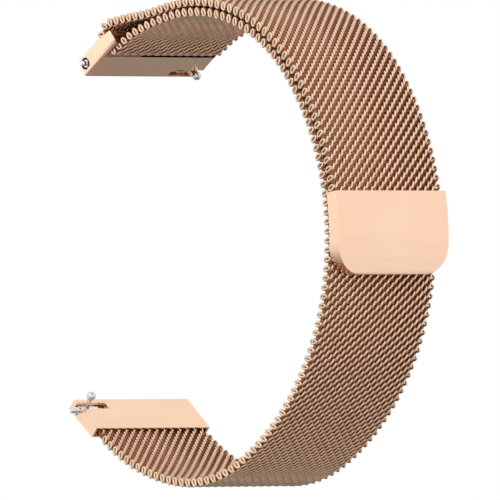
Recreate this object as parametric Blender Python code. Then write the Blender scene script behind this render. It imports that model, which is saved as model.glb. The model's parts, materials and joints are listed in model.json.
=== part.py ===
"""Milanese-loop watch strap, 22 mm lug size.

A woven steel mesh band stands open as a C. Its lower end is welded into an end
piece, its upper end folds round the cross bar of a slotted end piece and comes
back over itself to a magnetic clasp. Each end piece holds a quick-release
spring bar.

Frame: metres, +Z up, origin on the lower spring bar's axis at mid width. X is
the strap's width, and the opening for the watch faces +Y.
"""

import math

import bmesh
import bpy
from mathutils import Matrix, Vector

MM = 0.001

# Band: the inner layer's middle line starts at the lower spring bar, runs
# straight through the lower end piece, then follows tangent arcs.
MESH_THICKNESS = 1.28 * MM
MESH_WIDTH = 20.8 * MM
START_HEADING = -40.0
LOWER_REACH = 4.85 * MM
BAND_ARCS = (
    (30.0 * MM, 37.0), (21.0 * MM, 32.0), (36.25 * MM, 102.0),
    (24.6 * MM, 60.6), (46.0 * MM, 8.4), (17.8 * MM, 17.8),
)
LAYER_PITCH = 1.44 * MM
FOLD_SPREAD = 4.3 * MM
OPENING_RUN = 9.7 * MM
FOLD_LEAD = 0.76 * MM
JOINT_GAP = 0.3 * MM
TAIL_GAP = 0.6 * MM
FIRST_HINGE = 4.6 * MM
HINGE_PITCH = 12.0 * MM
INNER_HINGES = 11
TAIL_PEEL_HINGE = 129.6 * MM
CLASP_LIFT_HINGE = 82.6 * MM

# End pieces and spring bars
END_WIDTH = 21.8 * MM
LOWER_THICKNESS = 1.75 * MM
WATCH_EDGE = 1.4 * MM
POCKET_DEPTH = 2.9 * MM
POCKET_HEIGHT = 1.25 * MM
TONGUE_THICKNESS = 1.0 * MM
TONGUE_LENGTH = 1.9 * MM
UPPER_HEADING = 217.4
UPPER_BAR_REACH = 5.99 * MM
UPPER_BAR_DROP = 0.19 * MM
UPPER_FACE = 1.77 * MM
TUBE_DIAMETER = 1.2 * MM
TUBE_BORE = 0.8 * MM
BAR_HOLE = 1.36 * MM
UPPER_BAR_HOLE = 1.7 * MM
ROD_DIAMETER = 0.66 * MM
TIP_DIAMETER = 0.8 * MM
NECK_DIAMETER = 0.55 * MM
FIXED_TIP_PROUD = 0.8 * MM
SPRUNG_TIP_PROUD = 1.2 * MM
TUBE_MOUTH = 5.0 * MM
LOWER_SLOT = 5.3 * MM
UPPER_SLOT = 6.3 * MM
SLOT_WIDTH = 1.3 * MM
LEVER_INSET = 1.8 * MM
LEVER_LEAN = 12.0
LEVER_POST = 0.6 * MM
LEVER_BALL = 1.28 * MM
LOWER_LEVER = 2.7 * MM
UPPER_LEVER = 2.08 * MM

# Clasp: its inner face lies on the inner layer, but for a hair's breadth
CLASP_WIDTH = 21.2 * MM
CLASP_THICKNESS = 2.0 * MM
CLASP_GAP = 0.08 * MM
CLASP_TOP = 76.2 * MM
CLASP_BOTTOM = 65.1 * MM
CLASP_CORNER = 4.2 * MM
COVER_WALL = 0.45 * MM
BACK_PLATE = 0.35 * MM
FIT = 0.1 * MM

ROUND = 20
STEEL_GOLD = (0.93, 0.66, 0.5)
MESH_GOLD = (0.72, 0.45, 0.32)
CHROME = (0.8, 0.81, 0.83)
MAGNET_GREY = (0.3, 0.3, 0.32)


def clear_scene():
    """Remove every object."""
    for obj in list(bpy.data.objects):
        bpy.data.objects.remove(obj, do_unlink=True)


def metal(name, colour, roughness):
    """One Principled metal."""
    material = bpy.data.materials.new(name)
    material.use_nodes = True
    shader = material.node_tree.nodes["Principled BSDF"]
    shader.inputs["Base Color"].default_value = (*colour, 1.0)
    shader.inputs["Metallic"].default_value = 1.0
    shader.inputs["Roughness"].default_value = roughness
    return material


# ---------------------------------------------------------------- the band's line


def direction(heading):
    """Unit vector (h, v) of a heading in degrees; h points away from the opening."""
    return Vector((math.cos(math.radians(heading)), math.sin(math.radians(heading))))


def wrist_side(along):
    """The normal on the wrist's side of a line that runs along a direction."""
    return Vector((-along.y, along.x))


def inner_length():
    """Length of the inner layer from the lower end piece's front to the fold."""
    return sum(radius * math.radians(sweep) for radius, sweep in BAND_ARCS)


def inner_point(s):
    """Point of the inner layer's middle line and its direction, s from the lower end piece's front."""
    heading = START_HEADING
    point = direction(heading) * LOWER_REACH
    if s <= 0.0:
        return point + direction(heading) * s, direction(heading)
    for radius, sweep in BAND_ARCS:
        turn = min(s / radius, math.radians(sweep))
        centre = point + wrist_side(direction(heading)) * radius
        heading += math.degrees(turn)
        point = centre - wrist_side(direction(heading)) * radius
        s -= turn * radius
        if s <= 0.0:
            break
    return point, direction(heading)


def layer_distance(s):
    """Distance between the two layers' middle lines: close together, then opening towards the fold."""
    t = (s - (inner_length() - OPENING_RUN)) / OPENING_RUN
    t = min(max(t, 0.0), 1.0)
    return LAYER_PITCH + (FOLD_SPREAD - LAYER_PITCH) * t * t


def outer_point(s):
    """Point of the outer layer's middle line, beside the inner layer's place s."""
    point, along = inner_point(s)
    return point - wrist_side(along) * layer_distance(s)


def fold_circle():
    """Centre, radius and turn of the round fold that joins the inner layer's end to the outer layer."""
    end, along = inner_point(inner_length())
    side = wrist_side(along)
    gap = end - outer_point(inner_length() - FOLD_LEAD)
    radius = gap.length_squared / (2.0 * gap.dot(side))
    centre = end - side * radius
    spoke = end - gap - centre
    return centre, radius, math.atan2(spoke.dot(along), spoke.dot(side)) % (2.0 * math.pi)


def bar_centre():
    """Axis of the cross bar that the mesh folds round."""
    return fold_circle()[0]


def fold_length():
    """Length of the round fold's middle line."""
    _, radius, turn = fold_circle()
    return radius * turn


def mesh_point(u):
    """Point of the whole mesh's middle line: inner layer, fold, then outer layer back to the clasp."""
    end = inner_length()
    if u <= end:
        return inner_point(u)[0]
    centre, radius, turn = fold_circle()
    if u <= end + radius * turn:
        along = inner_point(end)[1]
        angle = (u - end) / radius
        return centre + (wrist_side(along) * math.cos(angle) + along * math.sin(angle)) * radius
    return outer_point(2.0 * end + radius * turn - FOLD_LEAD - u)


def mesh_along(u):
    """Direction of the mesh's middle line."""
    step = 0.02 * MM
    return (mesh_point(u + step) - mesh_point(u - step)).normalized()


def outer_u(s):
    """Place on the whole mesh's line of the outer layer beside the inner layer's place s."""
    return 2.0 * inner_length() + fold_length() - FOLD_LEAD - s


def hinge_s(index):
    """Place of a bending hinge on the inner layer."""
    return FIRST_HINGE + HINGE_PITCH * index


# ---------------------------------------------------------------- solids


def world(point, x):
    """A point (h, v) of the side view at the width place x."""
    return Vector((x, -point.x, point.y))


def new_object(name, bm, material, origin=None):
    """Object from a bmesh, with its origin on a given world point."""
    bmesh.ops.recalc_face_normals(bm, faces=bm.faces)
    mesh = bpy.data.meshes.new(name)
    origin = origin or Vector((0.0, 0.0, 0.0))
    bm.transform(Matrix.Translation(-origin))
    bm.to_mesh(mesh)
    bm.free()
    mesh.materials.append(material)
    obj = bpy.data.objects.new(name, mesh)
    obj.location = origin
    bpy.context.collection.objects.link(obj)
    return obj


def prism(name, outline, x_low, x_high, material, origin=None):
    """Side-view outline drawn out across the width."""
    bm = bmesh.new()
    low = [bm.verts.new(world(p, x_low)) for p in outline]
    face = bm.faces.new(low)
    moved = bmesh.ops.extrude_face_region(bm, geom=[face])["geom"]
    verts = [v for v in moved if isinstance(v, bmesh.types.BMVert)]
    bmesh.ops.translate(bm, verts=verts, vec=(x_high - x_low, 0.0, 0.0))
    return new_object(name, bm, material, origin)


def turned(name, profile, centre, axis, material, origin=None, sides=ROUND):
    """Round solid from (distance along the axis, radius) steps; the ends close on the axis."""
    side = axis.orthogonal().normalized()
    up = axis.cross(side)
    bm = bmesh.new()
    rings = []
    for along, radius in profile:
        ring = []
        for k in range(sides):
            angle = 2.0 * math.pi * k / sides
            spoke = side * math.cos(angle) + up * math.sin(angle)
            ring.append(bm.verts.new(centre + axis * along + spoke * radius))
        rings.append(ring)
    for first, second in zip(rings, rings[1:]):
        for k in range(sides):
            n = (k + 1) % sides
            bm.faces.new((first[k], first[n], second[n], second[k]))
    bm.faces.new(list(reversed(rings[0])))
    bm.faces.new(rings[-1])
    obj = new_object(name, bm, material, origin)
    obj.data.shade_smooth()
    obj.data.set_sharp_from_angle(angle=math.radians(40.0))
    return obj


def cut(obj, cutter, operation="DIFFERENCE"):
    """Exact Boolean with a hidden cutter."""
    cutter.hide_render = True
    cutter.display_type = "WIRE"
    modifier = obj.modifiers.new(cutter.name, "BOOLEAN")
    modifier.operation = operation
    modifier.solver = "EXACT"
    modifier.object = cutter


def local_outline(base, along, places):
    """Side-view points from (along, towards the wrist) places in an end piece's own frame."""
    side = wrist_side(along)
    return [base + along * a + side * b for a, b in places]


def chamfered_box(a_low, a_high, b_low, b_high, chamfer):
    """Rectangle with broken corners in an end piece's own frame."""
    c = chamfer
    return [
        (a_low + c, b_low), (a_high - c, b_low), (a_high, b_low + c), (a_high, b_high - c),
        (a_high - c, b_high), (a_low + c, b_high), (a_low, b_high - c), (a_low, b_low + c),
    ]


# ---------------------------------------------------------------- the mesh band


def half_round(u, facing, thickness):
    """Half-round end of a band piece, from its right side round to its left as seen facing outwards."""
    centre = mesh_point(u - facing * thickness / 2.0)
    along = mesh_along(u - facing * thickness / 2.0) * facing
    side = wrist_side(along)
    steps = 6
    points = []
    for k in range(steps + 1):
        angle = math.pi * (k / steps - 0.5)
        points.append(centre + (along * math.cos(angle) + side * math.sin(angle)) * thickness / 2.0)
    return points


def band_outline(u_low, u_high, round_low=True, round_high=True):
    """Side-view outline of the mesh between two places, with half-round ends at hinges."""
    half = MESH_THICKNESS / 2.0
    low = u_low + (half if round_low else 0.0)
    high = u_high - (half if round_high else 0.0)
    steps = max(2, round((high - low) / (1.3 * MM)))
    places = [low + (high - low) * k / steps for k in range(steps + 1)]
    inner = places[1:-1] if round_low and round_high else places
    if round_low != round_high:
        inner = places[1:] if round_low else places[:-1]
    outside = [mesh_point(u) - wrist_side(mesh_along(u)) * half for u in inner]
    inside = [mesh_point(u) + wrist_side(mesh_along(u)) * half for u in reversed(inner)]
    high_end = half_round(u_high, 1.0, MESH_THICKNESS) if round_high else []
    low_end = half_round(u_low, -1.0, MESH_THICKNESS) if round_low else []
    return outside + high_end + inside + low_end


def hinge_origin(u):
    """World point of a bending hinge."""
    return world(mesh_point(u), 0.0)


def band_piece(name, u_low, u_high, hinge, material, **ends):
    """One bending piece of the mesh, its origin on the hinge that carries it."""
    half = MESH_WIDTH / 2.0
    outline = band_outline(u_low, u_high, **ends)
    return prism(name, outline, -half, half, material, hinge_origin(hinge))


def lower_mesh_end(material):
    """Mesh end fixed in the lower end piece, with the pressed tongue in its pocket."""
    half = MESH_THICKNESS / 2.0
    tongue = TONGUE_THICKNESS / 2.0
    front = JOINT_GAP
    places = [front]
    along = direction(START_HEADING)
    side = wrist_side(along)
    base = inner_point(0.0)[0]
    tail = [base + along * a + side * b for a, b in (
        (front, tongue), (-TONGUE_LENGTH, tongue), (-TONGUE_LENGTH, -tongue), (front, -tongue))]
    high = FIRST_HINGE - JOINT_GAP / 2.0
    places.append(front + (high - half - front) / 2.0)
    outside = [mesh_point(u) - wrist_side(mesh_along(u)) * half for u in places]
    inside = [mesh_point(u) + wrist_side(mesh_along(u)) * half for u in reversed(places)]
    outline = outside + half_round(high, 1.0, MESH_THICKNESS) + inside + tail
    width = MESH_WIDTH / 2.0
    return prism("mesh_lower_end", outline, -width, width, material)


def inner_mesh(material):
    """Bending pieces of the inner layer, from the lower end piece to the fold."""
    for index in range(INNER_HINGES - 1):
        low = hinge_s(index) + JOINT_GAP / 2.0
        high = hinge_s(index + 1) - JOINT_GAP / 2.0
        band_piece(f"mesh_inner_{index + 1:02d}", low, high, hinge_s(index), material)


def fold_mesh(material):
    """The turn round the cross bar, with short runs of both layers."""
    low = hinge_s(INNER_HINGES - 1) + JOINT_GAP / 2.0
    high = outer_u(TAIL_PEEL_HINGE) - JOINT_GAP / 2.0
    band_piece("mesh_fold", low, high, hinge_s(INNER_HINGES - 1), material)


def outer_hinges():
    """Places of the outer layer's hinges, from the fold to the clasp."""
    beside = [hinge_s(index) for index in range(INNER_HINGES - 1, 5, -1)]
    places = [TAIL_PEEL_HINGE, *beside, CLASP_LIFT_HINGE]
    return sorted(places, reverse=True)


def hinge_gap(s):
    """Gap at an outer hinge; wider where the outer layer bends about the inner layer's hinge line."""
    own = (TAIL_PEEL_HINGE, CLASP_LIFT_HINGE)
    return JOINT_GAP if s in own else TAIL_GAP


def outer_mesh(material):
    """Bending pieces of the outer layer, from the fold to the clasp.

    Where both layers bend together, the outer one turns about the inner one's
    hinge line, so that the layers stay on each other.
    """
    places = outer_hinges()
    for index, (start, stop) in enumerate(zip(places, places[1:])):
        low = outer_u(start) + hinge_gap(start) / 2.0
        high = outer_u(stop) - hinge_gap(stop) / 2.0
        hinge = outer_u(start) if hinge_gap(start) == JOINT_GAP else start
        band_piece(f"mesh_outer_{index + 1:02d}", low, high, hinge, material)


# ---------------------------------------------------------------- lower end piece


def lower_base():
    """Lower spring bar's axis in the side view, the origin of the frame."""
    return Vector((0.0, 0.0))


def bar_bore(name, base, diameter, material):
    """Cutter for the spring bar's hole right through an end piece."""
    reach = END_WIDTH
    profile = [(-reach, diameter / 2.0), (reach, diameter / 2.0)]
    return turned(name, profile, world(base, 0.0), Vector((1.0, 0.0, 0.0)), material)


def lever_slot(name, base, along, end, length, material):
    """Cutter for the lever's slot: it opens the bore to the wrist side, out to one end."""
    half = SLOT_WIDTH / 2.0
    outline = local_outline(base, along, [(-half, 0.0), (half, 0.0), (half, 4.0 * MM), (-half, 4.0 * MM)])
    inside = END_WIDTH / 2.0 - length
    x_low, x_high = sorted((end * inside, end * END_WIDTH))
    return prism(name, outline, x_low, x_high, material)


def lower_end_housing(material):
    """Welded end block: hole for the spring bar, lever slot and a pocket for the mesh."""
    base = lower_base()
    along = direction(START_HEADING)
    half = LOWER_THICKNESS / 2.0
    width = END_WIDTH / 2.0
    outline = local_outline(base, along, chamfered_box(-WATCH_EDGE, LOWER_REACH, -half, half, 0.05 * MM))
    housing = prism("lower_end_housing", outline, -width, width, material)
    pocket = POCKET_HEIGHT / 2.0
    inner = LOWER_REACH - POCKET_DEPTH
    hollow = [(inner, -pocket), (LOWER_REACH + MM, -pocket), (LOWER_REACH + MM, pocket), (inner, pocket)]
    opening = MESH_WIDTH / 2.0 + 0.15 * MM
    cut(housing, prism("cut_pocket", local_outline(base, along, hollow), -opening, opening, material))
    cut(housing, bar_bore("cut_lower_bore", base, BAR_HOLE, material))
    cut(housing, lever_slot("cut_lower_slot", base, along, -1.0, LOWER_SLOT, material))
    return housing


def lower_weld_bar(material):
    """Bar at the pocket's bottom that the last coil is welded to."""
    base = lower_base()
    along = direction(START_HEADING)
    low = LOWER_REACH - POCKET_DEPTH + FIT
    high = LOWER_REACH - TONGUE_LENGTH - FIT
    half = POCKET_HEIGHT / 2.0 - FIT
    outline = local_outline(base, along, chamfered_box(low, high, -half, half, 0.1 * MM))
    reach = MESH_WIDTH / 2.0
    return prism("lower_weld_bar", outline, -reach, reach, material)


# ---------------------------------------------------------------- upper end piece


def upper_along():
    """Direction of the upper end piece, from the cross bar towards the watch."""
    return direction(UPPER_HEADING)


def upper_bar_base():
    """Upper spring bar's axis in the side view."""
    along = upper_along()
    return bar_centre() + along * UPPER_BAR_REACH + wrist_side(along) * UPPER_BAR_DROP


def crowned_outline():
    """Side view of the upper end piece: crowned outer face, flat wrist face."""
    start, top, stop = -0.9 * MM, 4.2 * MM, 7.0 * MM
    crown = 27.0 * MM
    places = []
    steps = 10
    for k in range(steps + 1):
        a = start + (stop - start) * k / steps
        places.append((a, -0.96 * MM + crown - math.sqrt(crown * crown - (a - top) ** 2)))
    places += [(7.18 * MM, UPPER_FACE), (-0.77 * MM, UPPER_FACE), (-1.03 * MM, UPPER_FACE - 0.5 * MM)]
    return local_outline(bar_centre(), upper_along(), places)


def upper_end_loop(material):
    """Slotted end block; its cross bar turns inside the mesh's fold."""
    width = END_WIDTH / 2.0
    centre = bar_centre()
    along = upper_along()
    block = prism("upper_end_loop", crowned_outline(), -width, width, material, world(centre, 0.0))
    slot = MESH_WIDTH / 2.0 + 0.15 * MM
    near, far = 0.6 * MM, 2.9 * MM
    lip = far - 0.55 * MM
    through = [(near, -3.0 * MM), (far, -3.0 * MM), (far, 0.9 * MM), (lip, UPPER_FACE), (lip, 4.0 * MM), (near, 4.0 * MM)]
    cut(block, prism("cut_mesh_slot", local_outline(centre, along, through), -slot, slot, material))
    under = [(-2.0 * MM, 0.6 * MM), (1.0 * MM, 0.6 * MM), (1.0 * MM, 4.0 * MM), (-2.0 * MM, 4.0 * MM)]
    cut(block, prism("cut_bar_underside", local_outline(centre, along, under), -slot, slot, material))
    base = upper_bar_base()
    cut(block, bar_bore("cut_upper_bore", base, UPPER_BAR_HOLE, material))
    cut(block, lever_slot("cut_upper_slot", base, along, 1.0, UPPER_SLOT, material))
    return block


# ---------------------------------------------------------------- quick-release spring bars


def bar_tube(name, base, end, material):
    """Tube with a blind bore; its mouth faces the lever's end."""
    axis = Vector((end, 0.0, 0.0))
    back = -(END_WIDTH / 2.0 - 0.5 * MM)
    mouth = END_WIDTH / 2.0 - TUBE_MOUTH
    bottom = mouth - 8.4 * MM
    outer, bore = TUBE_DIAMETER / 2.0, TUBE_BORE / 2.0
    socket = back + 1.1 * MM
    profile = [
        (socket, TIP_DIAMETER / 2.0), (back, TIP_DIAMETER / 2.0), (back, outer), (mouth, outer),
        (mouth, bore), (bottom, bore),
    ]
    return turned(name, profile, world(base, 0.0), axis, material)


def fixed_tip(name, base, end, material):
    """Pin in the tube's closed end, with a neck and a flange as on a double-shouldered bar."""
    axis = Vector((-end, 0.0, 0.0))
    edge = END_WIDTH / 2.0
    root = edge - 1.5 * MM
    pin = TIP_DIAMETER / 2.0
    stem = pin - FIT / 2.0
    profile = [
        (root, stem), (edge - 0.35 * MM, stem), (edge - 0.35 * MM, 0.55 * MM), (edge - 0.1 * MM, 0.55 * MM),
        (edge - 0.1 * MM, NECK_DIAMETER / 2.0), (edge + 0.15 * MM, NECK_DIAMETER / 2.0),
        (edge + 0.15 * MM, pin), (edge + FIXED_TIP_PROUD - 0.2 * MM, pin), (edge + FIXED_TIP_PROUD, pin * 0.6),
    ]
    return turned(name, profile, world(base, 0.0), axis, material)


def lever_axis(end, along):
    """Direction of a lever's post: out of the slot, leaning towards the bar's sprung tip."""
    side = wrist_side(along)
    lean = math.radians(LEVER_LEAN)
    out = math.cos(lean)
    return Vector((end * math.sin(lean), -side.x * out, side.y * out))


def plunger(name, base, end, along, material):
    """Sliding pin: rod in the tube, body with the lever's cross hole, flange, neck and tip."""
    axis = Vector((end, 0.0, 0.0))
    edge = END_WIDTH / 2.0
    rod, body, pin = ROD_DIAMETER / 2.0, TUBE_DIAMETER / 2.0, TIP_DIAMETER / 2.0
    shoulder = edge - TUBE_MOUTH + SPRUNG_TIP_PROUD + 0.15 * MM
    profile = [
        (edge - TUBE_MOUTH - 1.6 * MM, rod), (shoulder, rod), (shoulder, body), (edge - 0.35 * MM, body),
        (edge - 0.35 * MM, NECK_DIAMETER / 2.0), (edge + 0.1 * MM, NECK_DIAMETER / 2.0),
        (edge + 0.1 * MM, 0.52 * MM), (edge + 0.3 * MM, 0.52 * MM), (edge + 0.3 * MM, pin),
        (edge + SPRUNG_TIP_PROUD - 0.25 * MM, pin), (edge + SPRUNG_TIP_PROUD, pin * 0.6),
    ]
    obj = turned(name, profile, world(base, 0.0), axis, material)
    hole = LEVER_POST / 2.0 + FIT / 2.0
    post = world(base, axis.x * (edge - LEVER_INSET))
    reach = [(-0.15 * MM, hole), (2.0 * MM, hole)]
    cut(obj, turned(f"cut_{name}", reach, post, lever_axis(end, along), material, sides=12))
    return obj


def release_lever(name, base, end, along, length, material):
    """Post and ball knob, fixed in the plunger; the length is from the bar's axis to the ball's middle."""
    post = world(base, end * (END_WIDTH / 2.0 - LEVER_INSET))
    ball = LEVER_BALL / 2.0
    neck = LEVER_POST / 2.0
    start = math.asin(neck / ball)
    profile = [(-0.1 * MM, neck)]
    steps = 9
    for k in range(steps + 1):
        angle = start + (math.pi - 0.12 - start) * k / steps
        profile.append((length - ball * math.cos(angle), ball * math.sin(angle)))
    return turned(name, profile, post, lever_axis(end, along), material, sides=16)


def bar_spring(name, base, end, material):
    """Compression spring in the tube, drawn at its pressed length."""
    wire = 0.055 * MM
    radius = 0.27 * MM
    turns, steps, sides = 11, 12, 5
    mouth = END_WIDTH / 2.0 - TUBE_MOUTH
    start = mouth - 8.2 * MM
    length = 5.1 * MM
    centre = world(base, 0.0)
    bm = bmesh.new()
    rings = []
    total = turns * steps
    for k in range(total + 1):
        angle = 2.0 * math.pi * k / steps
        spoke = Vector((0.0, math.cos(angle), math.sin(angle)))
        middle = centre + Vector((end * (start + length * k / total), 0.0, 0.0)) + spoke * radius
        ring = []
        for j in range(sides):
            turn = 2.0 * math.pi * j / sides
            offset = spoke * math.cos(turn) + Vector((1.0, 0.0, 0.0)) * math.sin(turn)
            ring.append(bm.verts.new(middle + offset * wire))
        rings.append(ring)
    for first, second in zip(rings, rings[1:]):
        for j in range(sides):
            n = (j + 1) % sides
            bm.faces.new((first[j], first[n], second[n], second[j]))
    bm.faces.new(rings[0])
    bm.faces.new(list(reversed(rings[-1])))
    return new_object(name, bm, material)


def spring_bar(prefix, base, end, along, lever, material):
    """A whole quick-release bar; end is +1 or -1 for the side of its lever."""
    bar_tube(f"{prefix}_bar_tube", base, end, material)
    fixed_tip(f"{prefix}_fixed_tip", base, end, material)
    bar_spring(f"{prefix}_bar_spring", base, end, material)
    plunger(f"{prefix}_plunger", base, end, along, material)
    release_lever(f"{prefix}_release_lever", base, end, along, lever, material)


# ---------------------------------------------------------------- clasp


def clasp_point(s, height):
    """Side-view point in the clasp, by its place on the inner layer and its height off the clasp's inner face."""
    point, along = inner_point(s)
    return point - wrist_side(along) * (MESH_THICKNESS / 2.0 + CLASP_GAP + height)


def clasp_strip(s_low, s_high, low, high):
    """Side-view outline that follows the band between two places and two heights."""
    steps = 6
    places = [s_low + (s_high - s_low) * k / steps for k in range(steps + 1)]
    bottom = [clasp_point(s, high) for s in places]
    top = [clasp_point(s, low) for s in reversed(places)]
    return bottom + top


def clasp_outline_cutter(name, inset, material):
    """Upright block with the clasp's outline: square at the top, two round corners below."""
    half = CLASP_WIDTH / 2.0 - inset
    corner = CLASP_CORNER - inset
    middle = (CLASP_TOP + CLASP_BOTTOM) / 2.0
    centre, along = inner_point(middle)
    low = -(CLASP_TOP - CLASP_BOTTOM) / 2.0 * 1.05 + inset
    high = -low + 2.0 * inset + 2.0 * MM
    outline = [(half, high), (-half, high)]
    for side in (-1.0, 1.0):
        for k in range(9):
            angle = math.pi / 2.0 * k / 8
            x = math.cos(angle) if side < 0.0 else math.sin(angle)
            z = math.sin(angle) if side < 0.0 else math.cos(angle)
            outline.append((side * (half - corner + corner * x), low + corner - corner * z))
    outward = -wrist_side(along)
    bm = bmesh.new()
    verts = []
    for x, z in outline:
        verts.append(bm.verts.new(world(centre + along * z - outward * 2.0 * MM, x)))
    face = bm.faces.new(verts)
    moved = bmesh.ops.extrude_face_region(bm, geom=[face])["geom"]
    new = [v for v in moved if isinstance(v, bmesh.types.BMVert)]
    shift = outward * 8.0 * MM
    bmesh.ops.translate(bm, verts=new, vec=(0.0, -shift.x, shift.y))
    return new_object(name, bm, material)


def clasp_cover(material):
    """Outer shell of the clasp, open towards the wrist and at the top where the mesh enters."""
    half = CLASP_WIDTH / 2.0
    margin = 2.0 * MM
    origin = hinge_origin(hinge_s(6))
    blank = clasp_strip(CLASP_BOTTOM - margin, CLASP_TOP, 0.0, CLASP_THICKNESS)
    cover = prism("clasp_cover", blank, -half, half, material, origin)
    cut(cover, clasp_outline_cutter("cut_clasp_outline", 0.0, material), "INTERSECT")
    hollow = clasp_strip(CLASP_BOTTOM - margin, CLASP_TOP + margin, -margin, CLASP_THICKNESS - COVER_WALL)
    inner = prism("cut_clasp_hollow", hollow, -half, half, material)
    cut(inner, clasp_outline_cutter("cut_hollow_outline", COVER_WALL, material), "INTERSECT")
    cut(cover, inner)
    return cover


def clasp_back_plate(material):
    """Plate that closes the cover on the wrist side."""
    half = CLASP_WIDTH / 2.0
    blank = clasp_strip(CLASP_BOTTOM - MM, CLASP_TOP, 0.0, BACK_PLATE)
    plate = prism("clasp_back_plate", blank, -half, half, material)
    cut(plate, clasp_outline_cutter("cut_plate_outline", COVER_WALL + FIT, material), "INTERSECT")
    return plate


def clasp_magnets(material):
    """Three flat magnets side by side."""
    low, high = BACK_PLATE + FIT, CLASP_THICKNESS - COVER_WALL - FIT
    outline = clasp_strip(CLASP_BOTTOM + 0.9 * MM, CLASP_BOTTOM + 5.5 * MM, low, high)
    half = 2.6 * MM
    for name, x in (("left", -5.6 * MM), ("middle", 0.0), ("right", 5.6 * MM)):
        prism(f"clasp_magnet_{name}", outline, x - half, x + half, material)


def clasp_tongue(material):
    """End of the outer mesh: a pressed tongue in the clasp, rounded at the hinge above it."""
    half = 0.38 * MM
    middle = BACK_PLATE + FIT + half
    top = hinge_s(6) - TAIL_GAP / 2.0
    steps = 4
    places = [top - half - (4.6 * MM - half) * k / steps for k in range(steps + 1)]
    outside = [clasp_point(s, middle + half) for s in places]
    inside = [clasp_point(s, middle - half) for s in reversed(places)]
    tip = clasp_point(top, middle)
    reach = CLASP_WIDTH / 2.0 - COVER_WALL - 2.0 * FIT
    return prism("mesh_clasp_end", outside + inside + [tip], -reach, reach, material)


def clasp_mesh_crimp(material):
    """Strip in front of the mesh's end that the last coil is welded to."""
    low = BACK_PLATE + FIT
    stop = hinge_s(6) - TAIL_GAP / 2.0 - 4.6 * MM - 0.15 * MM
    outline = clasp_strip(stop - 0.8 * MM, stop, low, CLASP_THICKNESS - COVER_WALL - FIT)
    reach = CLASP_WIDTH / 2.0 - COVER_WALL - 2.0 * FIT
    return prism("clasp_mesh_crimp", outline, -reach, reach, material)


def build():
    """Make every piece."""
    clear_scene()
    plate = metal("rose_gold_plate", STEEL_GOLD, 0.22)
    weave = metal("rose_gold_mesh", MESH_GOLD, 0.4)
    chrome = metal("polished_steel", CHROME, 0.12)
    magnet = metal("magnet_alloy", MAGNET_GREY, 0.5)

    lower_end_housing(plate)
    lower_weld_bar(plate)
    lower_along = direction(START_HEADING)
    spring_bar("lower", lower_base(), -1.0, lower_along, LOWER_LEVER, chrome)

    lower_mesh_end(weave)
    inner_mesh(weave)
    fold_mesh(weave)
    outer_mesh(weave)

    upper_end_loop(plate)
    spring_bar("upper", upper_bar_base(), 1.0, upper_along(), UPPER_LEVER, chrome)

    clasp_cover(plate)
    clasp_back_plate(plate)
    clasp_magnets(magnet)
    clasp_tongue(weave)
    clasp_mesh_crimp(plate)


build()
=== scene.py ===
"""Looks of the woven mesh watch strap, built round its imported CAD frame.

The mesh slabs of the frame are replaced by real woven wire: one coil after
another along the band, with the welded loops along both edges. Metres, +Z up,
X across the strap, origin on the lower spring bar.
"""

import json
import math

import bmesh
import bpy
import numpy as np
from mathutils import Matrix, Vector


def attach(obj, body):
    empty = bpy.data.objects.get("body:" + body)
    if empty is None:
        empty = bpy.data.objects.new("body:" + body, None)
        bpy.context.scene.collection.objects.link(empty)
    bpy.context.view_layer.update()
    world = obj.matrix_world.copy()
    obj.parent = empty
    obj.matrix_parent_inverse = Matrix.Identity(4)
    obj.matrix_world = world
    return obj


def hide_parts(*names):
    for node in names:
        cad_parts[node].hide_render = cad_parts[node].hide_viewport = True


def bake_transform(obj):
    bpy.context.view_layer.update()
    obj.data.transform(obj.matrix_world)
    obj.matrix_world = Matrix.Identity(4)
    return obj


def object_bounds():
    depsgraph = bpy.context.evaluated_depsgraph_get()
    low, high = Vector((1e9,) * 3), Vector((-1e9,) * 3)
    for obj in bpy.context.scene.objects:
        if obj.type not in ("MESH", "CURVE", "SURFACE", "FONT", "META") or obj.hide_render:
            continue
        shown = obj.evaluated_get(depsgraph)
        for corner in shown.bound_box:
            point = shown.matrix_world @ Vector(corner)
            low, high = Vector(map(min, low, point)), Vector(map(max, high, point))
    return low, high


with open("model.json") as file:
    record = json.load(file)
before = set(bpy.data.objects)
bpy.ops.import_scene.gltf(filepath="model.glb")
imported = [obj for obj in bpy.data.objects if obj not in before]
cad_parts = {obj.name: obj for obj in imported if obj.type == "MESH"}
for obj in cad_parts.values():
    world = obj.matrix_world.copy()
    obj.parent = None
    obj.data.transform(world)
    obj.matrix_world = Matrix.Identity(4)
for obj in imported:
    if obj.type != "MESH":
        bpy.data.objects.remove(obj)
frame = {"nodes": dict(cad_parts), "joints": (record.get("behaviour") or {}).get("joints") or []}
CAD_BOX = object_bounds()

MM = 0.001

# The band's middle line, as in the frame: straight through the lower end piece, then tangent arcs,
# each a radius and the degrees that it turns through. Places on it are counted from the end piece's front.
START_HEADING = -40.0
LOWER_REACH = 4.85 * MM
BAND_ARCS = (
    (30.0 * MM, 37.0), (21.0 * MM, 32.0), (36.25 * MM, 102.0),
    (24.6 * MM, 60.6), (46.0 * MM, 8.4), (17.8 * MM, 17.8),
)
LAYER_PITCH = 1.44 * MM
FOLD_SPREAD = 4.3 * MM
OPENING_RUN = 9.7 * MM
FOLD_LEAD = 0.76 * MM
IN_POCKET = 1.5 * MM
IN_CLASP = 1.5 * MM
CLASP_TOP = 76.2 * MM
LINE_STEP = 0.1 * MM
FOLD_STEPS = 70

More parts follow.
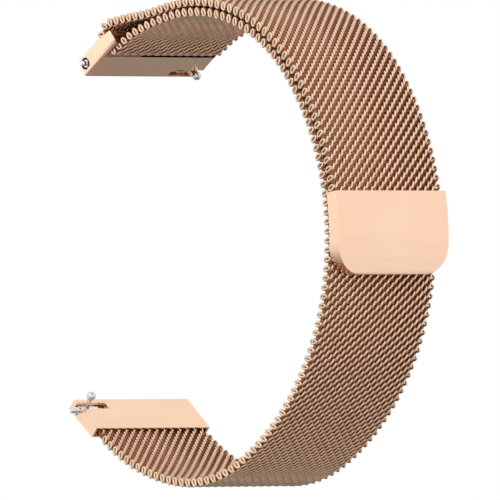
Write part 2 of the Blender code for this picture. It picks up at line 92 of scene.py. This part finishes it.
# The weave. A coil's phase goes through half a turn in the steps of HALF_TURN, closest where the wire
# passes from one face of the mesh to the other. Its height is its sine to the power FLATNESS, so that it
# lies flat on both faces. Dark flat rods through the coils' middles are painted shade that fills the inside
# of the mesh, SHADE_ROD_STRETCH times as wide as they are thick. BEND_SHARE of the shorter way from a
# piece's hinge to its ends is worked out for each piece but not used.
MESH_WIDTH = 20.8 * MM
MESH_HEIGHT = 1.28 * MM
WIRE = 0.4 * MM
COIL_REACH = 0.5 * MM
COIL_PITCH = 0.665 * MM
FLATNESS = 0.5
HALF_TURNS = 27
HALF_TURN = np.radians([0.0, 8.0, 24.0, 50.0, 90.0, 130.0, 156.0, 172.0])
WIRE_SIDES = 8
SHADE_ROD_RADIUS = 0.09 * MM
SHADE_ROD_STRETCH = 3.9
FIRST_COIL = 0.3 * MM
BEND_SHARE = 0.92

# The welded loops along both edges: an egg of wire that leans by LOOP_LEAN degrees
LOOP_WIRE = 0.4 * MM
LOOP_REACH = 0.3 * MM
LOOP_EGG = 0.15
LOOP_LEAN = 16.0
LOOP_THINNING = 0.3
LOOP_SINK = 0.25 * LOOP_WIRE
LOOP_STEPS = 18
LOOP_SIDES = 8
# LOOP_SHADE: painted shade, how much darker a loop is painted towards its inner side where it meets the
# coils
LOOP_SHADE = 0.9
COIL_END = MESH_WIDTH / 2.0 - LOOP_WIRE * 1.1

# Where the mesh is pressed flat its coils keep PRESSED_SHARE of their height: deeper than POCKET_DEPTH in
# the lower end piece, and nearer than CLASP_DEPTH to its end in the clasp. The runs lead to full height.
PRESSED_SHARE = 0.75
FULL_SHARE = 0.99
POCKET_DEPTH = 1.0 * MM
POCKET_RUN = 1.2 * MM
CLASP_DEPTH = 1.3 * MM
CLASP_RUN = 0.5 * MM

# Broken edges of the metal pieces
WELD_DISTANCE = 1e-6
FLAT_ANGLE = math.radians(0.5)
EDGE_ANGLE = math.radians(35.0)
LOWER_BEVEL = 0.03 * MM
UPPER_BEVEL = 0.5 * MM
COVER_BEVEL = 0.1 * MM
PLATE_BEVEL = 0.05 * MM

# Shares of UPPER_BEVEL on the upper end piece's edges, and the lengths that tell these apart
WRIST_SHARE = 1.0
END_SHARE = 0.15
LONG_SHARE = 0.1
CRISP_SHARE = 0.06
END_MARGIN = 0.01 * MM
WRIST_HEIGHT = 51.0 * MM
WRIST_EDGE = 3.0 * MM
END_EDGE = 0.6 * MM
LONG_EDGE = 15.0 * MM

# Noise values that the looks are spread over, and colours by height of the wire (0.5 is a face, 1 a loop).
# Below a face the colours are painted shade: red-brown and less metallic (GAP_METALLIC) deep between the
# coils (GAP_CREST), brown on the wire's flanks (SIDE_CREST); the face and loop colours are the wire's own
NOISE_RANGE = (0.3, 0.7)
TINT_RANGE = (0.35, 0.65)
GAP_CREST = 0.06
SIDE_CREST = 0.3
GAP_METALLIC = 0.25
WIRE_COLOURS_AND_SHADE = (
    (GAP_CREST, (0.56, 0.22, 0.11)), (SIDE_CREST, (0.6, 0.3, 0.17)), (0.39, (0.8, 0.54, 0.38)),
    (0.46, (0.9, 0.74, 0.56)), (1.0, (0.97, 0.72, 0.52)),
)

# Camera and stage
VIEW_AZIMUTH = -43.0
VIEW_CENTRE = Vector((0.0, -24.4 * MM, 22.8 * MM))
VIEW_WIDTH = 70.8 * MM
VIEW_DISTANCE = 3.0
FLOOR_DROP = 115.0 * MM
FLOOR_SIZE = 4.0
FILL_PLACE = (-0.113, 0.107, 0.06)
FILL_TARGET = (-0.011, -0.002, 0.052)
FILL_SIZE = 0.07
FILL_POWER = 0.004
SKY_COLOURS = ((0.14, (0.31, 0.3, 0.29)), (0.37, (0.88, 0.88, 0.88)), (0.5, (1.0, 1.0, 1.0)))
BEHIND_RANGE = (0.55, 0.9)
BEHIND_STRENGTH = 0.25


# ---------------------------------------------------------------- the band's line


def heading_vector(heading):
    """Unit vector (h, v) of a heading; h points away from the opening."""
    return np.array([math.cos(heading), math.sin(heading)])


def left_of(along):
    """Left side of a direction, the wrist's side of the inner layer, for one vector or a column of them."""
    return np.stack([-along[..., 1], along[..., 0]], axis=-1)


def inner_line(step):
    """Points, directions and places of the inner layer's middle line, from the end piece's front."""
    heading = math.radians(START_HEADING)
    point = heading_vector(heading) * LOWER_REACH
    points, headings, places, run = [point], [heading], [0.0], 0.0
    for radius, sweep in BAND_ARCS:
        turn = math.radians(sweep)
        count = max(2, round(radius * turn / step))
        centre = point + left_of(heading_vector(heading)) * radius
        for k in range(1, count + 1):
            angle = heading + turn * k / count
            points.append(centre - left_of(heading_vector(angle)) * radius)
            headings.append(angle)
            places.append(run + radius * turn * k / count)
        heading += turn
        run += radius * turn
        point = points[-1]
    along = np.array([heading_vector(a) for a in headings])
    return np.array(points), along, np.array(places)


def layer_distance(places, length):
    """Distance between the two layers: close together, then opening towards the fold."""
    t = np.clip((places - (length - OPENING_RUN)) / OPENING_RUN, 0.0, 1.0)
    return LAYER_PITCH + (FOLD_SPREAD - LAYER_PITCH) * t * t


class Line:
    """A smooth polyline of the side view, read by its own length."""

    def __init__(self, points):
        self.points = points
        steps = np.linalg.norm(np.diff(points, axis=0), axis=1)
        self.places = np.concatenate([[0.0], np.cumsum(steps)])
        self.length = self.places[-1]

    def at(self, u):
        """Point or points (h, v) at a place."""
        return np.stack([np.interp(u, self.places, self.points[:, k]) for k in (0, 1)], axis=-1)

    def along(self, u):
        """Direction at a place."""
        step = 0.15 * MM
        d = self.at(np.asarray(u) + step) - self.at(np.asarray(u) - step)
        return d / np.linalg.norm(d, axis=-1, keepdims=True)

    def nearest(self, position, beyond=0.0):
        """Place on the line of a frame position, at or after a given place."""
        p = np.array([-position[1], position[2]])
        distance = np.linalg.norm(self.points - p, axis=1)
        return self.places[np.where(self.places >= beyond, distance, np.inf).argmin()]


def mesh_line():
    """Middle line of the whole mesh, from the lower end piece's pocket to the clasp, and where it folds."""
    points, along, places = inner_line(LINE_STEP)
    length, end, side = places[-1], points[-1], left_of(along[-1])
    keep = (places > CLASP_TOP - IN_CLASP) & (places < length - FOLD_LEAD)
    outer = points[keep] - left_of(along[keep]) * layer_distance(places[keep], length)[:, None]
    gap = end - outer[-1]
    radius = gap @ gap / (2.0 * gap @ side)
    spoke = outer[-1] - end + side * radius
    turn = math.atan2(spoke @ along[-1], spoke @ side) % (2.0 * math.pi)
    turns = np.linspace(0.0, turn, FOLD_STEPS)[1:-1, None]
    fold = end - side * radius + (side * np.cos(turns) + along[-1] * np.sin(turns)) * radius
    pocket = points[0] - along[0] * IN_POCKET
    return Line(np.concatenate([[pocket], points, fold, outer[::-1]])), IN_POCKET + length


# ---------------------------------------------------------------- materials


def principled(name, colour, metallic, roughness):
    """A new Principled material, its tree and its shader."""
    material = bpy.data.materials.new(name)
    material.use_nodes = True
    shader = material.node_tree.nodes["Principled BSDF"]
    shader.inputs["Base Color"].default_value = (*colour, 1.0)
    shader.inputs["Metallic"].default_value = metallic
    shader.inputs["Roughness"].default_value = roughness
    return material, material.node_tree, shader


def noise(tree, scale, detail=3.0, stretch=(1.0, 1.0, 1.0)):
    """Noise over the object's own coordinates, drawn out along an axis by a stretch below 1."""
    place = tree.nodes.new("ShaderNodeTexCoord")
    mapping = tree.nodes.new("ShaderNodeMapping")
    mapping.inputs["Scale"].default_value = stretch
    texture = tree.nodes.new("ShaderNodeTexNoise")
    texture.inputs["Scale"].default_value = scale
    texture.inputs["Detail"].default_value = detail
    tree.links.new(place.outputs["Object"], mapping.inputs["Vector"])
    tree.links.new(mapping.outputs["Vector"], texture.inputs["Vector"])
    return texture


def spread(tree, texture, low, high):
    """Noise mapped to a range of values."""
    out = tree.nodes.new("ShaderNodeMapRange")
    out.inputs["From Min"].default_value = NOISE_RANGE[0]
    out.inputs["From Max"].default_value = NOISE_RANGE[1]
    out.inputs["To Min"].default_value = low
    out.inputs["To Max"].default_value = high
    tree.links.new(texture.outputs["Fac"], out.inputs["Value"])
    return out.outputs["Result"]


def colour_ramp(tree, stops):
    """Colour ramp through (place, colour) stops."""
    ramp = tree.nodes.new("ShaderNodeValToRGB")
    elements = ramp.color_ramp.elements
    for element, (place, colour) in zip(elements, (stops[0], stops[-1])):
        element.position = place
        element.color = (*colour, 1.0)
    for place, colour in stops[1:-1]:
        elements.new(place).color = (*colour, 1.0)
    return ramp


def tint(tree, texture, first, second):
    """Noise mapped between two colours."""
    ramp = colour_ramp(tree, ((TINT_RANGE[0], first), (TINT_RANGE[1], second)))
    tree.links.new(texture.outputs["Fac"], ramp.inputs["Fac"])
    return ramp.outputs["Color"]


def relief(tree, texture, shader, strength, distance):
    """Fine bump from noise."""
    bump = tree.nodes.new("ShaderNodeBump")
    bump.inputs["Strength"].default_value = strength
    bump.inputs["Distance"].default_value = distance
    tree.links.new(texture.outputs["Fac"], bump.inputs["Height"])
    tree.links.new(bump.outputs["Normal"], shader.inputs["Normal"])


def plated_flat():
    """Rose-gold plated flats: satin, with a fine grain across the strap."""
    material, tree, shader = principled("rose_gold_flat", (0.97, 0.67, 0.48), 1.0, 0.24)
    grain = noise(tree, 900.0, 2.0, (0.06, 1.0, 1.0))
    cloud = noise(tree, 120.0, 2.0)
    tree.links.new(tint(tree, cloud, (1.0, 0.69, 0.5), (0.99, 0.67, 0.48)), shader.inputs["Base Color"])
    tree.links.new(spread(tree, grain, 0.2, 0.28), shader.inputs["Roughness"])
    relief(tree, grain, shader, 0.05, 0.00002)
    return material


def plated_wire():
    """Rose-gold plated wire: red-brown painted shade between the coils and on the wire's flanks, pale on
    the faces, peach on the edge loops.
    """
    material, tree, shader = principled("rose_gold_wire", (0.9, 0.58, 0.4), 1.0, 0.25)
    patches = noise(tree, 700.0, 3.0)
    # the shade value picks the colour: painted shade where the wire lies deep or shows its flank, own
    # colour on faces and loops
    shade_value = tree.nodes.new("ShaderNodeAttribute")
    shade_value.attribute_name = "shade_value"
    ramp = colour_ramp(tree, WIRE_COLOURS_AND_SHADE)
    tree.links.new(shade_value.outputs["Fac"], ramp.inputs["Fac"])
    # painted shade: deep in the weave the wire is made less metallic, so that its dark red-brown colour
    # shows
    polish = tree.nodes.new("ShaderNodeMapRange")
    polish.inputs["From Min"].default_value = GAP_CREST
    polish.inputs["From Max"].default_value = SIDE_CREST
    polish.inputs["To Min"].default_value = GAP_METALLIC
    tree.links.new(shade_value.outputs["Fac"], polish.inputs["Value"])
    tree.links.new(polish.outputs["Result"], shader.inputs["Metallic"])
    mix = tree.nodes.new("ShaderNodeMix")
    mix.data_type = "RGBA"
    mix.blend_type = "MULTIPLY"
    mix.inputs["Factor"].default_value = 1.0
    tree.links.new(ramp.outputs["Color"], mix.inputs["A"])
    tree.links.new(tint(tree, patches, (1.0, 1.0, 1.0), (0.9, 0.86, 0.82)), mix.inputs["B"])
    tree.links.new(mix.outputs["Result"], shader.inputs["Base Color"])
    tree.links.new(spread(tree, patches, 0.2, 0.32), shader.inputs["Roughness"])
    relief(tree, noise(tree, 5200.0, 2.0), shader, 0.12, 0.00001)
    return material


def polished_steel():
    """Spring bars, plungers and levers."""
    material, tree, shader = principled("polished_steel", (0.8, 0.81, 0.83), 1.0, 0.1)
    turning = noise(tree, 1500.0, 2.0)
    tree.links.new(tint(tree, turning, (0.82, 0.83, 0.85), (0.76, 0.77, 0.79)), shader.inputs["Base Color"])
    tree.links.new(spread(tree, turning, 0.07, 0.16), shader.inputs["Roughness"])
    return material


def magnet_alloy():
    """Nickel plated magnets, dull grey."""
    material, tree, shader = principled("magnet_alloy", (0.35, 0.35, 0.36), 1.0, 0.4)
    grains = noise(tree, 2400.0, 3.0)
    tree.links.new(tint(tree, grains, (0.38, 0.38, 0.39), (0.3, 0.3, 0.31)), shader.inputs["Base Color"])
    relief(tree, grains, shader, 0.2, 0.00003)
    return material


def pale_floor():
    """Plain pale studio floor."""
    material, tree, shader = principled("pale_floor", (0.95, 0.95, 0.95), 0.0, 0.7)
    clouds = noise(tree, 8.0, 2.0)
    tree.links.new(tint(tree, clouds, (0.95, 0.95, 0.95), (0.94, 0.94, 0.94)), shader.inputs["Base Color"])
    shader.inputs["Emission Color"].default_value = (1.0, 1.0, 1.0, 1.0)
    shader.inputs["Emission Strength"].default_value = 0.5
    return material


# ---------------------------------------------------------------- woven wire


def sweep_tube(centres, tangents, outward, radius, sides, closed):
    """Vertices and quads of a round wire along points.

    outward is a rough normal at each point, and radius is one value or one for each point.
    """
    tangents = tangents / np.linalg.norm(tangents, axis=1, keepdims=True)
    outward = outward - tangents * np.sum(outward * tangents, axis=1, keepdims=True)
    outward = outward / np.linalg.norm(outward, axis=1, keepdims=True)
    sideways = np.cross(tangents, outward)
    turn = 2.0 * np.pi * np.arange(sides) / sides
    ring = outward[:, None] * np.cos(turn)[None, :, None] + sideways[:, None] * np.sin(turn)[None, :, None]
    verts = (centres[:, None] + ring * np.reshape(radius, (-1, 1, 1))).reshape(-1, 3)
    count = len(centres)
    first = np.arange(count if closed else count - 1)
    second = (first + 1) % count
    side = np.arange(sides)
    following = (side + 1) % sides
    quads = np.stack([
        first[:, None] * sides + side, first[:, None] * sides + following,
        second[:, None] * sides + following, second[:, None] * sides + side], axis=-1).reshape(-1, 4)
    if not closed:
        half = sides // 2
        last = (count - 1) * sides
        caps = []
        for k in range(half - 1):
            caps.append([k, sides - 1 - k, sides - 2 - k, k + 1])
            caps.append([last + k + 1, last + sides - 2 - k, last + sides - 1 - k, last + k])
        quads = np.concatenate([quads, np.array(caps)])
    return verts, quads


def crest_height(verts, point, side):
    """How near a point of the wire is to either face of the mesh: 0 in the middle, 0.5 on the face; the
    wire material paints shade from it, darker the deeper.
    """
    off = (-verts[:, 1] - point[0]) * side[0] + (verts[:, 2] - point[1]) * side[1]
    return np.clip(np.abs(off) / MESH_HEIGHT, 0.0, 0.5)


def solid(x, flat):
    """World points from their place across the strap and their side view."""
    return np.column_stack([x, -flat[:, 0], flat[:, 1]])


def coil(point, along, index, rise):
    """One flattened coil across the strap, each second one half a turn off so that neighbours interlock."""
    blocks = [HALF_TURN + math.pi * k for k in range(HALF_TURNS)]
    phase = np.concatenate([*blocks, [math.pi * HALF_TURNS]])
    x = -COIL_END + 2.0 * COIL_END * phase / phase[-1]
    phase = phase + (math.pi if index % 2 else 0.0)
    side = left_of(along)
    slant = np.cos(phase) * COIL_REACH
    lift = np.sin(phase)
    height = np.sign(lift) * np.abs(lift) ** FLATNESS * rise
    centres = solid(x, point + along * slant[:, None] + side * height[:, None])
    outward = solid(np.zeros(len(x)), along * np.cos(phase)[:, None] + side * np.sin(phase)[:, None])
    verts, quads = sweep_tube(centres, np.gradient(centres, axis=0), outward, WIRE / 2.0, WIRE_SIDES, False)
    return verts, quads, crest_height(verts, point, side)


def shade_rod(point, along):
    """Dark flat rod through the middle of a coil, across the strap: painted shade that fills the inside of
    the mesh.
    """
    x = np.array([-COIL_END, COIL_END])
    centres = solid(x, np.array([point, point]))
    across = np.array([[1.0, 0.0, 0.0]] * 2)
    outward = solid(np.zeros(2), np.array([along, along]))
    verts, quads = sweep_tube(centres, across, outward, SHADE_ROD_RADIUS, WIRE_SIDES, False)
    run = np.array([0.0, -along[0], along[1]])
    off = (verts - centres[0]) @ run
    verts = verts + run * off[:, None] * (SHADE_ROD_STRETCH - 1.0)
    # the lowest shade value: the rod takes the darkest painted shade colour
    return verts, quads, np.zeros(len(verts))


def edge_loop(point, along, end, wrist):
    """Welded loop that closes two coils at one edge; wrist is 1 if the line's left faces it, else -1."""
    angle = 2.0 * np.pi * np.arange(LOOP_STEPS) / LOOP_STEPS
    side = left_of(along)
    radius = LOOP_WIRE / 2.0 * (1.0 - LOOP_THINNING * np.sin(angle) ** 2)
    up = np.sin(angle) * (MESH_HEIGHT / 2.0 - LOOP_SINK)
    forward = np.cos(angle) * (1.0 + wrist * LOOP_EGG * np.sin(angle)) * LOOP_REACH
    forward = forward - up * math.tan(math.radians(LOOP_LEAN))
    x = np.full(LOOP_STEPS, end * (MESH_WIDTH - LOOP_WIRE) / 2.0)
    centres = solid(x, point + along * forward[:, None] + side * up[:, None])
    outward = solid(np.zeros(LOOP_STEPS), along * np.cos(angle)[:, None] + side * np.sin(angle)[:, None])
    tangents = np.roll(centres, -1, axis=0) - np.roll(centres, 1, axis=0)
    verts, quads = sweep_tube(centres, tangents, outward, radius, LOOP_SIDES, True)
    # painted shade: the shade value falls towards the loop's inner side
    inward = (MESH_WIDTH / 2.0 - np.abs(verts[:, 0])) / LOOP_WIRE
    return verts, quads, np.clip(1.0 - LOOP_SHADE * inward, 0.0, 1.0)


def wire_object(name, parts, material):
    """One mesh object from many (vertices, quads, shade values from which the material paints shade)."""
    verts = np.concatenate([p[0] for p in parts])
    shade_value = np.concatenate([p[2] for p in parts])
    offset, faces = 0, []
    for points, quads, _ in parts:
        faces.append(quads + offset)
        offset += len(points)
    faces = np.concatenate(faces)
    mesh = bpy.data.meshes.new(name)
    mesh.vertices.add(len(verts))
    mesh.vertices.foreach_set("co", verts.astype(np.float32).ravel())
    mesh.loops.add(faces.size)
    mesh.loops.foreach_set("vertex_index", faces.astype(np.int32).ravel())
    mesh.polygons.add(len(faces))
    mesh.polygons.foreach_set("loop_start", (np.arange(len(faces)) * 4).astype(np.int32))
    mesh.update(calc_edges=True)
    # shade value of each point, from which the wire material paints shade
    mesh.attributes.new("shade_value", "FLOAT", "POINT").data.foreach_set("value", shade_value.astype(np.float32))
    mesh.validate()
    mesh.shade_smooth()
    mesh.materials.append(material)
    obj = bpy.data.objects.new(name, mesh)
    bpy.context.collection.objects.link(obj)
    return obj


def squeeze(line, u):
    """Share of its full height that a coil keeps: flattened in the end piece and in the clasp."""
    out_of_pocket = np.clip((u - IN_POCKET + POCKET_DEPTH) / POCKET_RUN, 0.0, 1.0)
    out_of_clasp = np.clip((line.length - CLASP_DEPTH - u) / CLASP_RUN, 0.0, 1.0)
    return PRESSED_SHARE + (1.0 - PRESSED_SHARE) * min(out_of_pocket, out_of_clasp)


def weave(line, fold, low, high, places):
    """Coils, the dark rods of painted shade through them, and the edge loops whose places lie between two
    places of the band.
    """
    parts = []
    rise = (MESH_HEIGHT - WIRE) / 2.0
    for index, u in enumerate(places):
        if not low <= u < high:
            continue
        share = squeeze(line, u)
        point, along = line.at(u), line.along(u)
        parts.append(coil(point, along, index, rise * share))
        # a dark rod of painted shade through the coil's middle
        parts.append(shade_rod(point, along))
        if index % 2 == 0 and share > FULL_SHARE:
            middle = u + COIL_PITCH / 2.0
            wrist = 1.0 if u < fold else -1.0
            for end in (-1.0, 1.0):
                parts.append(edge_loop(line.at(middle), line.along(middle), end, wrist))
    return parts


def mesh_band(material):
    """The whole mesh as one piece for each hinge, cut halfway between neighbouring hinges."""
    line, fold = mesh_line()
    hinges = []
    for joint in frame["joints"]:
        if joint["name"].startswith(("bend_", "tail_", "clasp_lift")):
            beyond = 0.0 if joint["name"].startswith("bend_") else fold
            hinges.append((line.nearest(joint["pos_m"], beyond), joint))
    hinges.sort(key=lambda item: item[0])
    stand_for = {"fold": "mesh_fold", "clasp": "mesh_clasp_end"}
    count = int((line.length - FIRST_COIL) / COIL_PITCH)
    places = FIRST_COIL + COIL_PITCH * np.arange(count + 1)
    marks = [0.0]
    for (here, _), (there, _) in zip(hinges, hinges[1:]):
        marks.append((here + there) / 2.0)
    marks.append(line.length + MM)
    for number, (u, joint) in enumerate(hinges):
        low, high = marks[number], marks[number + 1]
        obj = wire_object(f"woven_mesh_{number + 1:02d}", weave(line, fold, low, high, places), material)
        reach = BEND_SHARE * min(u - low, high - u)
        along = line.along(u) * reach
        middle = line.at(u)
        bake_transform(obj)
        nodes = [stand_for.get(joint["child"], f"mesh_{joint['child']}")]
        if number == 0:
            nodes.append("mesh_lower_end")
        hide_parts(*nodes)


# ---------------------------------------------------------------- finished CAD pieces


def refined(node, body, material, bevel, weights=None):
    """A CAD node's shape with its seams welded and its edges broken, standing for that node.

    weights gives an edge's share of the bevel from its two ends, where edges differ.
    """
    source = frame["nodes"][node]
    bm = bmesh.new()
    bm.from_mesh(source.data)
    bmesh.ops.remove_doubles(bm, verts=bm.verts, dist=WELD_DISTANCE)
    bmesh.ops.dissolve_limit(bm, angle_limit=FLAT_ANGLE, verts=bm.verts, edges=bm.edges)
    if weights:
        share = bm.edges.layers.float.new("bevel_weight_edge")
        for edge in bm.edges:
            if edge.is_manifold and edge.calc_face_angle() > EDGE_ANGLE:
                edge[share] = weights(*(source.matrix_world @ v.co for v in edge.verts))
    mesh = bpy.data.meshes.new(f"{node}_finished")
    bm.to_mesh(mesh)
    bm.free()
    mesh.materials.clear()
    mesh.materials.append(material)
    obj = bpy.data.objects.new(f"{node}_finished", mesh)
    bpy.context.collection.objects.link(obj)
    edges = obj.modifiers.new("broken_edges", "BEVEL")
    edges.width = bevel
    edges.segments = 4 if weights else 2
    edges.limit_method = "WEIGHT" if weights else "ANGLE"
    edges.angle_limit = EDGE_ANGLE
    edges.use_clamp_overlap = not weights
    edges.harden_normals = True
    mesh.shade_smooth()
    mesh.set_sharp_from_angle(angle=EDGE_ANGLE)
    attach(obj, body)
    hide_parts(node)


def upper_edge_weight(one, other):
    """Share of the upper end piece's bevel: wide along its end faces' wrist side, crisp at the holes."""
    half = frame["nodes"]["upper_end_loop"].dimensions.x / 2.0 - END_MARGIN
    at_end = abs(one.x) > half and abs(other.x) > half
    length = (one - other).length
    if at_end and length > WRIST_EDGE and one.z + other.z < 2.0 * WRIST_HEIGHT:
        return WRIST_SHARE
    if at_end and length > END_EDGE:
        return END_SHARE
    return LONG_SHARE if length > LONG_EDGE else CRISP_SHARE


def paint(node, material):
    """A better material on a CAD node that stays."""
    obj = frame["nodes"][node]
    if not obj.material_slots:
        obj.data.materials.append(material)
    for place in obj.material_slots:
        place.material = material


def metal_pieces(flat, steel, magnet):
    """End pieces, clasp and spring bars."""
    refined("lower_end_housing", "lower_end", flat, LOWER_BEVEL)
    refined("upper_end_loop", "upper_end", flat, UPPER_BEVEL, upper_edge_weight)
    refined("clasp_cover", "clasp", flat, COVER_BEVEL)
    refined("clasp_back_plate", "clasp", flat, PLATE_BEVEL)
    for node in ("lower_weld_bar", "clasp_mesh_crimp"):
        paint(node, flat)
    for bar in ("lower", "upper"):
        for piece in ("bar_tube", "fixed_tip", "bar_spring", "plunger", "release_lever"):
            paint(f"{bar}_{piece}", steel)
    for place in ("left", "middle", "right"):
        paint(f"clasp_magnet_{place}", magnet)


# ---------------------------------------------------------------- camera, light and stage


def aim(obj, target):
    """Turn a light or the camera to look at a point."""
    obj.rotation_mode = "QUATERNION"
    obj.rotation_quaternion = (Vector(target) - obj.location).to_track_quat("-Z", "Y")


def add_camera():
    """Long lens at the strap's own height."""
    data = bpy.data.cameras.new("camera")
    data.lens = data.sensor_width * VIEW_DISTANCE / VIEW_WIDTH
    data.clip_start, data.clip_end = 0.01, 20.0
    camera = bpy.data.objects.new("camera", data)
    azimuth = math.radians(VIEW_AZIMUTH)
    camera.location = VIEW_CENTRE + Vector((math.sin(azimuth), -math.cos(azimuth), 0.0)) * VIEW_DISTANCE
    aim(camera, VIEW_CENTRE)
    bpy.context.collection.objects.link(camera)
    bpy.context.scene.camera = camera


def soft_box(name, place, target, size, power):
    """Square area light aimed at a point."""
    data = bpy.data.lights.new(name, "AREA")
    data.size = size
    data.energy = power
    light = bpy.data.objects.new(name, data)
    light.location = place
    aim(light, target)
    light.visible_camera = False
    bpy.context.collection.objects.link(light)


def studio_world():
    """White to the camera; what the object reflects is bright above and darker below and behind it."""
    world = bpy.data.worlds.new("studio")
    world.use_nodes = True
    tree = world.node_tree
    background = tree.nodes["Background"]
    place = tree.nodes.new("ShaderNodeTexCoord")
    split = tree.nodes.new("ShaderNodeSeparateXYZ")
    ramp = colour_ramp(tree, SKY_COLOURS)
    height = tree.nodes.new("ShaderNodeMapRange")
    height.inputs["From Min"].default_value = -1.0
    tree.links.new(place.outputs["Generated"], split.inputs["Vector"])
    tree.links.new(split.outputs["Z"], height.inputs["Value"])
    tree.links.new(height.outputs["Result"], ramp.inputs["Fac"])
    white = tree.nodes.new("ShaderNodeBackground")
    white.inputs["Color"].default_value = (1.0, 1.0, 1.0, 1.0)
    mix = tree.nodes.new("ShaderNodeMixShader")
    seen = tree.nodes.new("ShaderNodeLightPath")
    behind = tree.nodes.new("ShaderNodeVectorMath")
    behind.operation = "DOT_PRODUCT"
    azimuth = math.radians(VIEW_AZIMUTH)
    behind.inputs[1].default_value = (-math.sin(azimuth), math.cos(azimuth), 0.0)
    tree.links.new(place.outputs["Generated"], behind.inputs[0])
    shade = tree.nodes.new("ShaderNodeMapRange")
    shade.interpolation_type = "SMOOTHSTEP"
    shade.inputs["From Min"].default_value = BEHIND_RANGE[0]
    shade.inputs["From Max"].default_value = BEHIND_RANGE[1]
    shade.inputs["To Min"].default_value = 1.0
    shade.inputs["To Max"].default_value = BEHIND_STRENGTH
    tree.links.new(behind.outputs["Value"], shade.inputs["Value"])
    tree.links.new(shade.outputs["Result"], background.inputs["Strength"])
    tree.links.new(ramp.outputs["Color"], background.inputs["Color"])
    tree.links.new(seen.outputs["Is Camera Ray"], mix.inputs["Fac"])
    tree.links.new(background.outputs["Background"], mix.inputs[1])
    tree.links.new(white.outputs["Background"], mix.inputs[2])
    tree.links.new(mix.outputs["Shader"], tree.nodes["World Output"].inputs["Surface"])
    bpy.context.scene.world = world


def add_floor():
    """Plain pale floor below the strap, which its mount holds up, out of the way of its swinging end."""
    bpy.ops.mesh.primitive_plane_add(size=FLOOR_SIZE, location=(0.0, 0.0, CAD_BOX[0].z - FLOOR_DROP))
    floor = bpy.context.object
    floor.name = "floor"
    floor.data.materials.append(pale_floor())
    floor.visible_glossy = False
    floor.visible_diffuse = False


def add_stage():
    """Camera, lights, world and floor."""
    add_camera()
    studio_world()
    soft_box("side_fill", FILL_PLACE, FILL_TARGET, FILL_SIZE, FILL_POWER)
    add_floor()
    bpy.context.scene.view_settings.view_transform = "Standard"


add_stage()
mesh_band(plated_wire())
metal_pieces(plated_flat(), polished_steel(), magnet_alloy())
